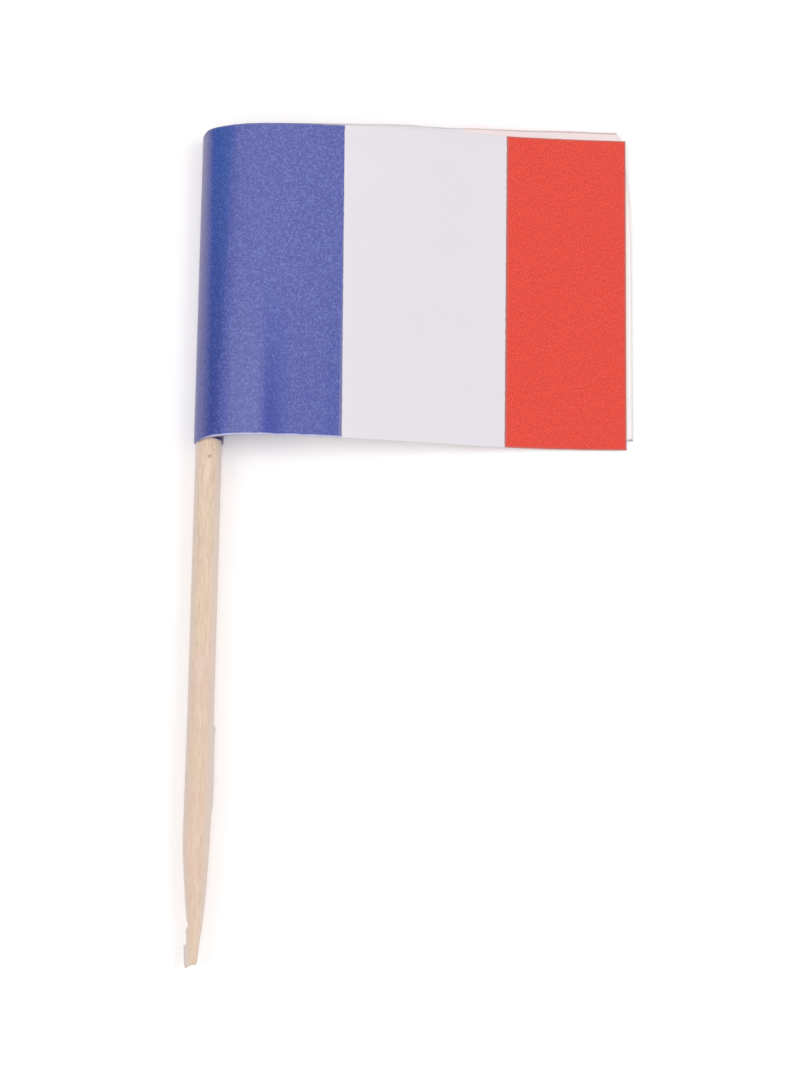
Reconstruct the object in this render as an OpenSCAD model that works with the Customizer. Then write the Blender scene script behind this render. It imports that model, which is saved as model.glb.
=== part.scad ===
// Flag toothpick: a striped paper flag folded round a round wooden pick and glued to itself.
// It lies on a table as it comes to rest. X runs across the stripes, Y along the pick towards
// the flag, and Z is up. The origin is on the table, midway along the pick.

/* [Pick] */
// Length of the wooden pick
pick_l = 65; // [50:1:90]
// Diameter of the round shank
pick_d = 1.95; // [1.6:0.05:3]
// Length of the tapered point
taper_l = 10.5; // [6:0.5:16]
// Diameter of the blunt end of the point
tip_d = 0.7; // [0.4:0.05:1.2]
// Break of the edge round the blunt end
tip_break = 0.12; // [0.05:0.01:0.15]
// Break of the edge round the plain end
plain_break = 0.1; // [0.05:0.05:0.4]
// Depth of the plain end below the top edge of the flag
end_recess = 0.3; // [0:0.1:2]

/* [Paper] */
// Thickness of the paper
paper_t = 0.12; // [0.08:0.01:0.2]
// Film of glue, round the pick and between the leaves
glue_t = 0.02; // [0.015:0.005:0.05]
// Height of the flag along the pick
flag_h = 25.4; // [15:0.1:35]
// Reach of the front leaf, from the pick's axis to its cut end
front_reach = 31.5; // [26:0.1:45]

/* [Fold] */
// Angle before the top of the pick at which the front leaf leaves the loop
leave_angle = 24; // [20:1:32]
// Rise of the front leaf's crest over the top of the loop
crest_rise = 0.95; // [0.8:0.05:2]
// Angle past the top of the pick at which the back leaf is creased outwards
crease_angle = 22; // [18:1:26]
// Inside radius of that crease, on the printed side
crease_r = 0.03; // [0.02:0.005:0.05]
// Slope at which the back leaf comes out of the crease
crease_slope = 18; // [12:1:22]
// Largest gap between the two leaves, before they are glued together
leaf_gap = 0.14; // [0.06:0.01:0.3]
// Distance from the pick's axis at which the two leaves come together
glue_x = 17; // [12:0.5:20]
// Length of the free end that lies flat on the table
flat_l = 2.5; // [1:0.5:5]

/* [Back leaf] */
// Rise of the back leaf's far corners over the front leaf's, because the fold is askew
back_rise = 0.7; // [0:0.05:1.5]
// How far the back leaf's top corner stops short of the front leaf's end
back_short = 0.5; // [0:0.05:1]
// How far the back leaf's bottom corner reaches past the front leaf's end
back_past = 0.4; // [0:0.05:1]

/* [Print] */
// Distance from the pick's axis to the end of the blue field on the front leaf
front_blue_x = 10; // [8:0.1:13]
// Distance from the pick's axis to the start of the red field on the front leaf
front_red_x = 22.3; // [18:0.1:25]
// Distance from the pick's axis to the end of the blue field on the back leaf
back_blue_x = 6.6; // [5:0.1:13]
// Distance from the pick's axis to the start of the red field on the back leaf
back_red_x = 19; // [18:0.1:25]

/* [Hidden] */

// Fineness of the true rounds
$fn = 96;
// Largest turn between two stations on a bend, in degrees
TURN_STEP = 7.5;
// Largest distance between two stations along a leaf
RUN_STEP = 0.8;
// Reach for a leaf's slope, to either side of a station
SLOPE_STEP = 0.001;
// Shape of the point: 1 is a sine, more is slimmer
TAPER_POWER = 1.15;
TAPER_STEPS = 14;
// Overlap of a cutting shape with what it trims
PAST = 1;

pick_r = pick_d / 2;
tip_r = tip_d / 2;
loop_in = pick_r + glue_t;
loop_mid = loop_in + paper_t / 2;
loop_out = loop_in + paper_t;
axis_z = loop_out;
axis_x = -(front_reach - loop_out) / 2;
flag_top = pick_l / 2;
flag_bottom = flag_top - flag_h;
back_reach = front_reach + back_past;

// Heights of the leaves' middle lines at the crest and at the flat end
crest_z = 2 * loop_out + crest_rise - paper_t / 2;
back_flat_z = paper_t / 2;
front_flat_z = back_flat_z + paper_t + glue_t;

// Where the front leaf leaves the loop, and the round hump that carries it to the crest
leave_x = -loop_mid * sin(leave_angle);
leave_z = axis_z + loop_mid * cos(leave_angle);
hump_r = (crest_z - leave_z) / (1 - cos(leave_angle));
crest_x = leave_x + hump_r * sin(leave_angle);
flat_x = front_reach - flat_l;

// The back leaf's crease: its bend's centre, and where the leaf comes out of it
crease_mid = crease_r + paper_t / 2;
crease_x = (loop_mid + crease_mid) * sin(crease_angle);
crease_z = axis_z + (loop_mid + crease_mid) * cos(crease_angle);
back_x = crease_x - crease_mid * sin(crease_slope);
back_z0 = crease_z + crease_mid * cos(crease_slope);

// Half a cosine wave, which falls from 1 to 0 as u goes from 0 to 1
function fall(u) = (1 + cos(180 * min(max(u, 0), 1))) / 2;

// Height of the front leaf's middle line: the round hump, then half a wave down to the table
function front_z(x) = x < crest_x
    ? crest_z - hump_r + sqrt(pow(hump_r, 2) - pow(crest_x - x, 2))
    : front_flat_z + (crest_z - front_flat_z) * fall((x - crest_x) / (flat_x - crest_x));

// Step down from the front leaf's middle line to the back leaf's: it swells, then closes
function leaf_step(x) =
    let (u = min((x - back_x) / (glue_x - back_x), 1))
    let (closed = paper_t + glue_t)
    let (at_crease = front_z(back_x) - back_z0)
    closed + (at_crease - closed) * fall(u) + leaf_gap * pow(sin(180 * u), 2);

// Height of the back leaf's middle line
function back_z(x) = front_z(x) - leaf_step(x);

// A station is a point of the paper's middle line and the unit normal towards the printed face
function round_station(centre, r, a, side) =
    let (n = [sin(a), cos(a)])
    [centre + r * n, side * n];

function leaf_station(x, z, slope, side) = [[x, z], side * [-slope, 1] / norm([slope, 1])];

function front_station(x) =
    leaf_station(x, front_z(x), (front_z(x + SLOPE_STEP) - front_z(x - SLOPE_STEP)) / (2 * SLOPE_STEP), 1);

function back_station(x) =
    leaf_station(x, back_z(x), (back_z(x + SLOPE_STEP) - back_z(x - SLOPE_STEP)) / (2 * SLOPE_STEP), -1);

// Whole number of steps of a given size that cover a distance
function steps(distance, size) = max(ceil(abs(distance) / size), 1);

// Stretches of the sheet, each from a start to an end; angles are clockwise from straight up
function front_run(x0, x1) =
    let (n = steps(x1 - x0, RUN_STEP))
    [for (i = [0 : n]) front_station(x0 + (x1 - x0) * i / n)];

function back_run(x0, x1) =
    let (n = steps(x1 - x0, RUN_STEP))
    [for (i = [0 : n]) back_station(x0 + (x1 - x0) * i / n)];

function loop_run(a0, a1) =
    let (n = steps(a1 - a0, TURN_STEP))
    [for (i = [0 : n]) round_station([0, axis_z], loop_mid, a0 + (a1 - a0) * i / n, 1)];

function crease_run(a0, a1) =
    let (n = steps(a1 - a0, 2 * TURN_STEP))
    [for (i = [0 : n]) round_station([crease_x, crease_z], crease_mid, a0 + (a1 - a0) * i / n, -1)];

// All the stations but the first, to join a stretch to the one before it
function rest_of(run) = [for (i = [1 : len(run) - 1]) run[i]];

// The front leaf from its cut end to the loop's far side, where the two halves of the sheet meet
MEET_ANGLE = -90;
front_red = front_run(front_reach, front_red_x);
front_white = front_run(front_red_x, front_blue_x);
front_blue = concat(
    front_run(front_blue_x, leave_x),
    rest_of(loop_run(-leave_angle, MEET_ANGLE))
);

// The back leaf from there, under the pick and up its near side, round the crease and outwards
back_blue = concat(
    loop_run(MEET_ANGLE, crease_angle - 360),
    rest_of(crease_run(crease_angle - 180, -crease_slope)),
    rest_of(back_run(back_x, back_blue_x))
);
back_white = back_run(back_blue_x, back_red_x);
back_red = concat(back_run(back_red_x, flat_x), rest_of(back_run(flat_x, back_reach)));

// Radius of the point at a share u of its length from the blunt end
function point_r(u) = tip_r + (pick_r - tip_r) * pow(sin(90 * u), TAPER_POWER);

// Section of the sheet along a run of stations, through its whole thickness
module sheet_section(run) {
    last = len(run) - 1;
    polygon(concat(
        [for (s = run) s[0] + paper_t / 2 * s[1]],
        [for (i = [last : -1 : 0]) run[i][0] - paper_t / 2 * run[i][1]]
    ));
}

// A section drawn in X and Z, carried from one Y down to another
module carried_along(y_top, y_bottom) {
    translate([axis_x, y_top, 0]) rotate([90, 0, 0]) linear_extrude(y_top - y_bottom) children();
}

// A stretch of the front leaf, square to the pick
module front_stretch(run) {
    carried_along(flag_top, flag_bottom) sheet_section(run);
}

// A stretch of the back leaf, cut to its outline: square on the loop, then askew, and cut off
// out of square at the free end
module back_stretch(run) {
    intersection() {
        carried_along(flag_top + back_rise + PAST, flag_bottom - PAST) sheet_section(run);
        translate([axis_x, 0, -PAST]) linear_extrude(crest_z + 2 * PAST) polygon([
            [-loop_out - PAST, flag_bottom],
            [loop_out, flag_bottom],
            [back_reach, flag_bottom + back_rise],
            [front_reach - back_short, flag_top + back_rise],
            [loop_out, flag_top],
            [-loop_out - PAST, flag_top]
        ]);
    }
}

// Round wooden pick: a true cylinder with a slender, blunted point
module toothpick() {
    shank_end = pick_l - end_recess;
    color("burlywood")
        translate([axis_x, flag_top - end_recess, axis_z])
        rotate([90, 0, 0])
        rotate_extrude()
        polygon([
            [0, 0],
            [pick_r - plain_break, 0],
            [pick_r, plain_break],
            for (i = [TAPER_STEPS : -1 : 1])
                [point_r(i / TAPER_STEPS), shank_end - taper_l * i / TAPER_STEPS],
            [tip_r, shank_end - tip_break],
            [tip_r - tip_break, shank_end],
            [0, shank_end]
        ]);
}

// One printed strip of paper, folded round the pick and glued to itself. The stripes are ink on
// one face, with no thickness of their own, so each colour is a stretch of the one sheet.
module flag_paper() {
    color([0.91, 0.33, 0.27]) front_stretch(front_red);
    color([0.93, 0.91, 0.93]) front_stretch(front_white);
    color([0.42, 0.45, 0.70]) front_stretch(front_blue);
    color([0.42, 0.45, 0.70]) back_stretch(back_blue);
    color([0.93, 0.91, 0.93]) back_stretch(back_white);
    color([0.91, 0.33, 0.27]) back_stretch(back_red);
}

toothpick();
flag_paper();
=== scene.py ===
"""Flag toothpick: a striped paper flag folded round a round birch pick, lying on a pale table.

All lengths are in metres, but for those whose comment says mm. X runs across the stripes, Y along
the pick towards the flag, and Z is up.
"""

import math

import bpy
import numpy as np
from mathutils import Matrix, Vector


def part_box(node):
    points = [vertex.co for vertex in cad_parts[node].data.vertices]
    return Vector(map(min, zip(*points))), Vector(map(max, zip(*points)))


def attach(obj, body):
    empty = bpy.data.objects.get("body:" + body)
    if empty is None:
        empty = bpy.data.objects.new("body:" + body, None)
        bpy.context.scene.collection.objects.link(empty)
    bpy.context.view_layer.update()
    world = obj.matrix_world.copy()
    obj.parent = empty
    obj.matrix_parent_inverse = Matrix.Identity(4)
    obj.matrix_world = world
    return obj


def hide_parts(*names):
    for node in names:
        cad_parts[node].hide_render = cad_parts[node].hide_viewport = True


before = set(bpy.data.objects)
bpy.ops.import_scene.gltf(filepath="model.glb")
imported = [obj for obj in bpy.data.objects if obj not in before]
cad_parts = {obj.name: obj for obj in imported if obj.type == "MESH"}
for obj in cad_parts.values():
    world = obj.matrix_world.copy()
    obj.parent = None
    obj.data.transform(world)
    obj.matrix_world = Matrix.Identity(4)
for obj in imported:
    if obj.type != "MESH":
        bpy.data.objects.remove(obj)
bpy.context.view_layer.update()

MM = 0.001

# Sizes that the frame gives
PICK_LOW, PICK_HIGH = (np.array(corner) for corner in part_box("toothpick"))
FLAG_LOW = np.array(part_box("flag_paper")[0])
AXIS_X = (PICK_LOW[0] + PICK_HIGH[0]) / 2
AXIS_Z = (PICK_LOW[2] + PICK_HIGH[2]) / 2
PICK_R = (PICK_HIGH[0] - PICK_LOW[0]) / 2
LOOP_OUT = AXIS_X - FLAG_LOW[0]
FLAG_BOTTOM = FLAG_LOW[1]

# The paper strip, as it is cut and printed. Places are distances from the pick's axis. The back
# leaf's cut end turns back towards its top corner with a power of the height.
PAPER_T = 0.12 * MM
GLUE_T = 0.02 * MM
FLAG_H = 25.4 * MM
FRONT_REACH = 31.5 * MM
BACK_RISE = 0.7 * MM
BACK_SHORT = 0.6 * MM
BACK_PAST = 0.43 * MM
CORNER_POWER = 8
FLAT_L = 2.5 * MM
FRONT_BLUE_X = 9.97 * MM
FRONT_RED_X = 22.3 * MM
BACK_BLUE_X = 6.6 * MM
BACK_RED_X = 19 * MM
BLUE_EDGE_SKEW = 0.28 * MM

# The fold. The first of each pair is at the bottom edge of the flag, the second at the top:
# the front leaf leaves the loop steeper, and its crest stands higher, at the top edge.
LEAVE_ANGLE = (26.3, 29.5)
CREST_RISE = (0.80 * MM, 1.05 * MM)
CREASE_ANGLE = 22
CREASE_R = 0.03 * MM
CREASE_SLOPE = 18
LEAF_GAP = 0.14 * MM
GLUE_X = 17 * MM

# The top edge bows up past the crest, and sinks again towards the free end
TOP_LIFT = 0.41 * MM
LIFT_START, LIFT_RUN = 8 * MM, 9 * MM
SINK_SHARE, SINK_START, SINK_RUN = 0.6, 26 * MM, 6 * MM

# Round the fold both long edges sag towards the point: how far, where along the strip, how wide.
# The bottom edge sags once more where the strip comes up on the pick's other side.
FOLD_SAG = (0.20 * MM, 0.42 * MM)
FOLD_SAG_AT = (-0.80 * MM, -1.45 * MM)
FOLD_SAG_WIDTH = (0.60 * MM, 0.70 * MM)
MOUTH_SAG, MOUTH_SAG_AT, MOUTH_SAG_WIDTH = 0.05 * MM, -5.3 * MM, 0.8 * MM

# The strip is wound a little askew: its drift along the pick for each unit of its run, and the run
# in which its upright lines come to lean as much. Its bottom edge is trimmed towards the free end.
DRIFT = 0.0047
SHEAR_RUN = 5 * MM
LOW_TRIM, TRIM_START, TRIM_RUN = 0.03 * MM, 17 * MM, 13 * MM

# Two dips in the back leaf's top edge: distance from the axis, width and depth
EDGE_DIPS = (
    (17.3 * MM, 2.2 * MM, 0.11 * MM),
    (30.6 * MM, 2.2 * MM, 0.11 * MM),
)

# Soft creases across the front leaf: place, height of the step, width, and how far up they reach
SOFT_CREASES = (
    (4.65 * MM, 0.090 * MM, 0.95 * MM, 0.60),
    (9.25 * MM, 0.045 * MM, 0.80 * MM, 0.75),
)
CREASE_TAIL_START, CREASE_TAIL_RUN = 3 * MM, 4 * MM

# Unevenness: the knife's wander along the two long edges, each with its own row of the noise, and
# a faint cockle of the leaves
KNIFE_WANDER, KNIFE_PITCH, KNIFE_ROWS = 0.012 * MM, 0.35 * MM, (3.5, 9.5)
COCKLE, COCKLE_PITCH = 0.02 * MM, (5 * MM, 7 * MM)
COCKLE_FROM, COCKLE_TO, COCKLE_FADE = 3 * MM, 30 * MM, 4 * MM

# The pick's skin. Distances are from the blunt end of the point, which reaches past the solid's.
POINT_REACH = 0.25 * MM
TAPER_L = 10.5 * MM
TIP_R = 0.32 * MM
TAPER_POWER = 1.15
TIP_BREAK, TIP_BREAK_L = 0.07 * MM, 0.12 * MM
SWELL, SWELL_AT, SWELL_WIDTH = 0.035 * MM, 13 * MM, 4 * MM
BEND, BEND_AT, BEND_WIDTH = 0.05 * MM, 8.5 * MM, 3 * MM
TIP_LEAN, TIP_LEAN_L = 0.03 * MM, 2.4 * MM
SHANK_RAMP = 3 * MM

# Its unevenness: how far it is out of round, its grooves and its fine grooves, each with its cells
# round the pick and their length; then how hollow and rough the cut ends are
OUT_OF_ROUND, OVAL_REACH, OVAL_PITCH = 0.008, 1.3, 6 * MM
GROOVE, GROOVES_AROUND, GROOVE_PITCH = 0.007 * MM, 44, 9 * MM
FINE_GROOVE, FINE_AROUND, FINE_PITCH = 0.003 * MM, 120, 3 * MM
CAP_HOLLOW, CAP_ROUGHNESS, CAP_PITCH = 0.03 * MM, 0.02 * MM, 0.2 * MM

# Torn wood: side of the pick in degrees from +X, half width in degrees, then in mm its start and
# end, how soft those two are, how far it stands proud, and how grey it is
TORN = (
    (10, 24, 10.9, 17.75, 0.90, 0.12, 0.100, 0.5),
    (10, 16, 17.15, 17.75, 0.15, 0.12, 0.060, 0.5),
    (185, 30, 2.65, 3.30, 0.10, 0.45, -0.130, 0.0),
    # The greys of the next two patches stand partly for the point's painted shadow on its left
    (185, 34, -1.0, 2.65, 0.10, 0.12, 0.100, 0.3),
    (188, 22, -1.0, 1.50, 0.10, 0.12, 0.235, 1.0),
    (0, 28, -1.0, 2.35, 0.10, 0.10, -0.030, 0.0),
)
# How torn, and how much of a side, the pick's two cut ends count as
CAP_MARK = 0.2
# The last splinter hangs past the end of the point
SPLINTER_SIDE, SPLINTER_SPREAD, SPLINTER_L, SPLINTER_PAST = 188, 24, 1.3 * MM, 0.28 * MM
# Where the shank starts to turn browner and is full brown, from the point, and the reach of the
# brown fibres below the flag
BROWN_FROM, BROWN_FULL = 28 * MM, 14 * MM
BRUISE_L = 1.5 * MM
# Dark pore: its distance from the point, its offset from the pick's top line, and its half sizes
PORE_AT, PORE_OFFSET, PORE_SIZE = 38.43 * MM, 0.18 * MM, (0.09 * MM, 0.15 * MM, 0.45 * MM)

# Fineness of the skins: points along the strip's four stretches and up it, points round the pick
# and rings along it, which crowd towards the point, and the rings of a cut end
FRONT_COLS, LOOP_COLS, CREASE_COLS, BACK_COLS = 110, 74, 14, 100
STRIP_ROWS = 110
PICK_AROUND, PICK_RINGS, RING_CROWDING = 168, 420, 1.25
CAP_LEVELS = 5

# An edge is sharp from this angle on, in degrees, and on the pick from the second
SHARP, PICK_SHARP = 40, 50

# Random patterns: where on its lattice each one starts, and its seed
KNIFE_DRAW = (0, 0, 11)
COCKLE_DRAW = (40, 40, 5)
OVAL_DRAW = (30, 60, 2)
GROOVE_DRAW = (9, 50, 3)
FINE_DRAW = (9, 20, 4)
CAP_DRAW = (0, 0, 8)

# The photograph's view: where the camera looks, from how far, and its focal length in its pixels
PHOTO_SIZE = (800, 1091)
VIEW_TARGET = (-0.73 * MM, -0.60 * MM, 0)
VIEW_DISTANCE = 273.4 * MM
VIEW_ELEVATION = 71.59
VIEW_AZIMUTH = 3.12
VIEW_ROLL = -2.62
VIEW_FOCAL_PX = 3656
SENSOR_HEIGHT = 24
CLIP = (0.01, 50)

# Light: where each lamp stands, its sides and its level; the sky's level for matt surfaces; and
# how white the table is to the camera, how much it glows there and in what tinge. A level of 1 is
# white.
SHEEN_PLACE = (-0.21, 0.59, 1.40)
SHEEN_SIDES = (1.43, 0.68)
SHEEN_LEVEL = 2.7
BOX_SIDES = (0.8, 0.8)
RIGHT_PLACE = (1.06, 0.0, 1.06)
RIGHT_LEVEL = 3.1
LEFT_PLACE = (-1.06, 0.0, 1.06)
LEFT_LEVEL = 2.4
FRONT_PLACE = (0.0, -0.75, 1.3)
FRONT_LEVEL = 1.8
SKY_LEVEL = 0.52
TABLE_SEEN = 0.88
TABLE_GLOW = 0.25
TABLE_TINGE = (1.0, 0.93, 0.93)
TABLE_ALBEDO = 0.95
TABLE_SIZE = 1.2
TABLE_DROP = 0.02 * MM
TABLE_ROUGH = 0.9

# Colours, as linear light
BLUE_INK = (0.018, 0.039, 0.352)
# Painted shade in the band past the fold, where the sheen does not reach: at the bottom and at the top
BLUE_FOLD_SHADE = (0.002, 0.030, 0.305)
BLUE_FOLD_SHADE_TOP = (0.006, 0.083, 0.445)
BLUE_PALE = (0.135, 0.175, 0.54)
# Painted shade along the soft creases, where they break the sheen
BLUE_CREASE_SHADE = (0.010, 0.022, 0.29)
BLUE_BORDER = (0.13, 0.14, 0.30)
RED_INK = (0.805, 0.057, 0.034)
RED_PALE = (0.84, 0.17, 0.13)
RED_BORDER = (0.45, 0.16, 0.14)
PAPER_WHITE = (0.79, 0.745, 0.80)
# Painted sheen: the pale glancing reflection round the fold, and the sheen on the crest
BLUE_PAINTED_SHEEN = (0.250, 0.230, 0.395)
# Painted shade on the loop's far side, under the front leaf
BLUE_LOOP_SHADE = (0.055, 0.036, 0.110)
LIP_WHITE = (0.48, 0.48, 0.72)
BARE_WHITE = (0.80, 0.76, 0.80)
BARE_PINK = (0.92, 0.79, 0.785)
BARE_END = (0.99, 0.96, 0.94)
# Painted shadow on the bare side's rims: grey, browner where the red shows through, and a lighter line at
# the cut end
RIM_SHADOW_GREY = (0.60, 0.56, 0.58)
RIM_SHADOW_BROWN = (0.56, 0.42, 0.40)
END_RIM_SHADOW = (0.84, 0.78, 0.76)
EDGE_WHITE = (0.84, 0.81, 0.83)
EDGE_BLUE = (0.50, 0.49, 0.70)
# Painted shade on the cut edge round the loop
EDGE_LOOP_SHADE = (0.20, 0.17, 0.32)
EDGE_RED = (0.80, 0.44, 0.40)
WOOD_PALE = (0.845, 0.665, 0.545)
WOOD_TAN = (0.77, 0.57, 0.43)
WOOD_ROSE = (0.84, 0.61, 0.53)
WOOD_STRAW = (0.81, 0.65, 0.47)
WOOD_GREY = (0.69, 0.62, 0.61)
# Painted sheen and shade at the pick's sides
WOOD_SIDE_SHEEN_SHADE = (0.77, 0.655, 0.595)
WOOD_PORE = (0.34, 0.22, 0.16)

# Painted sheen and painted shade on the blue, in mm along the strip: where each begins, is full, is full
# still, and ends
# Painted reflection round the fold, where the strip glances away from the eye
FOLD_SHEEN = (-3.2, -2.2, -0.9, 0.4)
# Painted shade where the loop comes up the pick's far side, under the front leaf
LOOP_SHADE = (-7.2, -6.4, -5.0, -4.4)
# Painted shade in the band just past the fold, where the sheen does not reach
FOLD_SHADE = (-0.6, 0.2, 0.35, 1.0)
# Painted sheen on the crest, then painted shade along the two creases where they break it
CREST_SHEEN = (1.2, 1.9, 3.4, 4.4)
FIRST_CREASE = (3.8, 4.5, 4.9, 6.5)
PAST_CREASE = (4.7, 6.3, 9.0, 11.0)
# How far up the painted crease sheen and shade show, and from none to full: where along the strip
# the bare lip begins, its height, and the distance of a border's line from the edge
CREASE_REACH = 15.0
LIP_FROM = (-1.4, 1.0)
LIP_HEIGHT = (0.14, 0.07)
BORDER = (0.15, 0.05)
# At the top edge the painted fold shade ends farther along the strip, and the painted reflection round
# the fold sooner, by these
FOLD_SHADE_SHIFT, FOLD_SHEEN_SHIFT = 0.62, -0.5

# Finishes. A noise has a scale, a detail and a roughness, for places in mm on the strip and in
# metres in the wood. A step has the two values that it lies between and, where they aren't 0 and
# 1, its two levels. A tone makes a colour lighter or darker. A share is the part that is mixed in.
# The relief is the depth of the finest pattern on a surface.
RELIEF = 0.02 * MM

# The blue: speckled ink, its pale grains and where they gather, and its painted sheen and shade
SPECK_NOISE, SPECK_STEP, SPECK_TONES = (7.5, 3.0, 0.65), (0.36, 0.64), (0.52, 1.10)
GRAIN_SCALE, GRAIN_STEP = 8.5, (0.35, 0.95, 0.0, 0.54)
CLUSTER_NOISE, CLUSTER_STEP = (2.4, 2.0, 0.6), (0.35, 0.65, 0.86, 1.0)
# Painted shade past the fold: its share, and the tone, specks and grains within it
FOLD_SHADE_SHARE, FOLD_SHADE_TONE = 0.86, 0.25
FOLD_SHADE_SPECK_STEP, FOLD_SHADE_GRAIN_STEP = (0.38, 0.62, 0.60, 0.0), (0.55, 0.95, 0.0, 0.30)
# Shares of the painted sheen on the crest and of the painted shade along the two creases
CREST_SHEEN_SHARE, CREASE_SHADE_SHARE, PAST_CREASE_SHADE_SHARE = 0.09, 0.50, 0.16
# Painted reflection round the fold: its speckled step and its shares at bottom and top; then the share of
# painted shade on the loop
FOLD_SHEEN_STEP, FOLD_SHEEN_SHARES, LOOP_SHADE_SHARE = (0.1, 0.75, 0.65, 1.0), (0.58, 0.97), 0.85
BLUE_RIM_SHARE = 0.75
RAG_NOISE, RAG = (1.6, 3.0, 0.6), 0.12
BLUE_ROUGH, CREASED_ROUGH = 0.29, 0.42

# The red: blotches and flecks drawn out up the flag, and in mm the line of piled ink at its borders
RED_STRETCH = (1, 0.5, 1)
RED_BLOTCH_NOISE, RED_FLECK_NOISE, RED_FLECK_PART = (3.4, 3.0, 0.6), (12.0, 2.0, 0.6), 0.6
RED_STEP, RED_TONES = (0.38, 0.62), (0.93, 1.06)
RED_FLECK_STEP = (0.46, 0.68, 0.0, 0.42)
RED_LINE_IN, RED_LINE = 0.06, (0.14, 0.05)
RED_LINE_SHARE, RED_EDGE_SHARE = 0.85, 0.8
RED_ROUGH = 0.80

# The white, and the wander and softness of the stripes' edges in mm
WHITE_SCALE, WHITE_TONES, WHITE_ROUGH = 0.35, (0.98, 1.01), 0.45
STRIPE_NOISE, STRIPE_WANDER, STRIPE_SOFT = (2.2, 3.0, 0.6), 0.09, 0.03
PRINT_RELIEF = 0.2

# The bare side: fibres, the red that shows through, the pale free end, and the rims and corners of
# painted shadow, in mm
RED_THROUGH_SOFT = 0.1
BARE_FIBRES, BARE_FIBRE_STEP, BARE_TONE = (5.0, 3.0, 0.6), (0.3, 0.7, 0.3, 0.0), 0.9
END_FADE, END_HEIGHT = (1.6, 0.6), (1.0, 0.5)
BARE_RIM, PATCH_NOISE, PATCH_STEP = (0.16, 0.05), (0.5, 2.0, 0.5), (0.3, 0.6, 0.5, 1.0)
CORNER_END, CORNER_LOW, CORNER_SHARE, CORNER_TONE = (0.55, 0.20), (0.22, 0.08), 0.8, 0.85
BARE_ROUGH = 0.85

# The cut edges
CUT_SOFT = 0.05
CUT_FIBRES, CUT_FIBRE_STEP, CUT_TONE = (12.0, 2.0, 0.6), (0.3, 0.7, 0.0, 0.25), 1.05
CUT_ROUGH = 0.9

# The wood: streaks and mottle drawn out along the pick, drifts of colour, specks and marks
STREAK_STRETCH, STREAK_NOISE, STREAK_STEP = (1, 0.07, 1), (8500, 3.0, 0.6), (0.36, 0.62)
STREAK_TONES = (0.92, 1.03)
MOTTLE_STRETCH, MOTTLE_NOISE, MOTTLE_STEP = (1, 0.30, 1), (3600, 3.0, 0.6), (0.48, 0.70, 0.0, 0.70)
MOTTLE_TONE = 0.92
ROSE_SCALE, ROSE_STEP = 1900, (0.40, 0.65, 0.0, 0.6)
STRAW_SCALE, STRAW_STEP = 260, (0.42, 0.62, 0.0, 0.5)
WOOD_SPECKS, WOOD_SPECK_STEP, WOOD_SPECK_TONE = (4200, 1.0, 0.4), (0.64, 0.82, 0.0, 0.4), 0.6
BROWN_SHARE = 0.35
BRUISE_SCALE, BRUISE_STEP, BRUISE_SHARE, BRUISE_TONE = 9000, (0.50, 0.66), 0.45, 0.55
# Painted sheen and shade at the pick's sides: where it starts, and its full share
SIDE_STEP = (0.45, 0.90, 0.0, 0.70)
PORE_STEP = (1.1, 0.6, 0.0, 0.8)
WOOD_RELIEF, WOOD_ROUGH, WOOD_SHEEN = 0.3, 0.7, 0.3

# The strip's map runs from 0 to 1 over this length, with the fold at its middle
STRIP_SPAN = 80 * MM


def smooth(u):
    """Three u squared less two u cubed, on u held between 0 and 1: a step with soft ends."""
    u = np.clip(u, 0, 1)
    return u * u * (3 - 2 * u)


def fall(u):
    """Half a cosine wave: 1 at u = 0, 0 at u = 1, held outside."""
    return (1 + np.cos(np.pi * np.clip(u, 0, 1))) / 2


def bell(u):
    """One over e to the square of u: 1 at u = 0, and soon nothing to either side."""
    return np.exp(-np.square(u))


def between(pair, v):
    """Straight blend from the first value at v = 0 to the second at v = 1."""
    return pair[0] + (pair[1] - pair[0]) * v


def lattice_noise(x, y, draw):
    """Smooth noise between -1 and 1: random heights on a unit lattice, blended by soft steps.

    draw says where on the lattice the pattern starts, along x and along y, and gives its seed.
    """
    start_x, start_y, seed = draw
    x, y = x + start_x, y + start_y
    cells = 256
    heights = np.random.default_rng(seed).uniform(-1, 1, (cells + 1, cells + 1))
    i, j = np.floor(x).astype(int), np.floor(y).astype(int)
    fx, fy = smooth(x - i), smooth(y - j)
    i, j = i % cells, j % cells
    low = heights[i, j] * (1 - fx) + heights[i + 1, j] * fx
    high = heights[i, j + 1] * (1 - fx) + heights[i + 1, j + 1] * fx
    return low * (1 - fy) + high * fy


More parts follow.
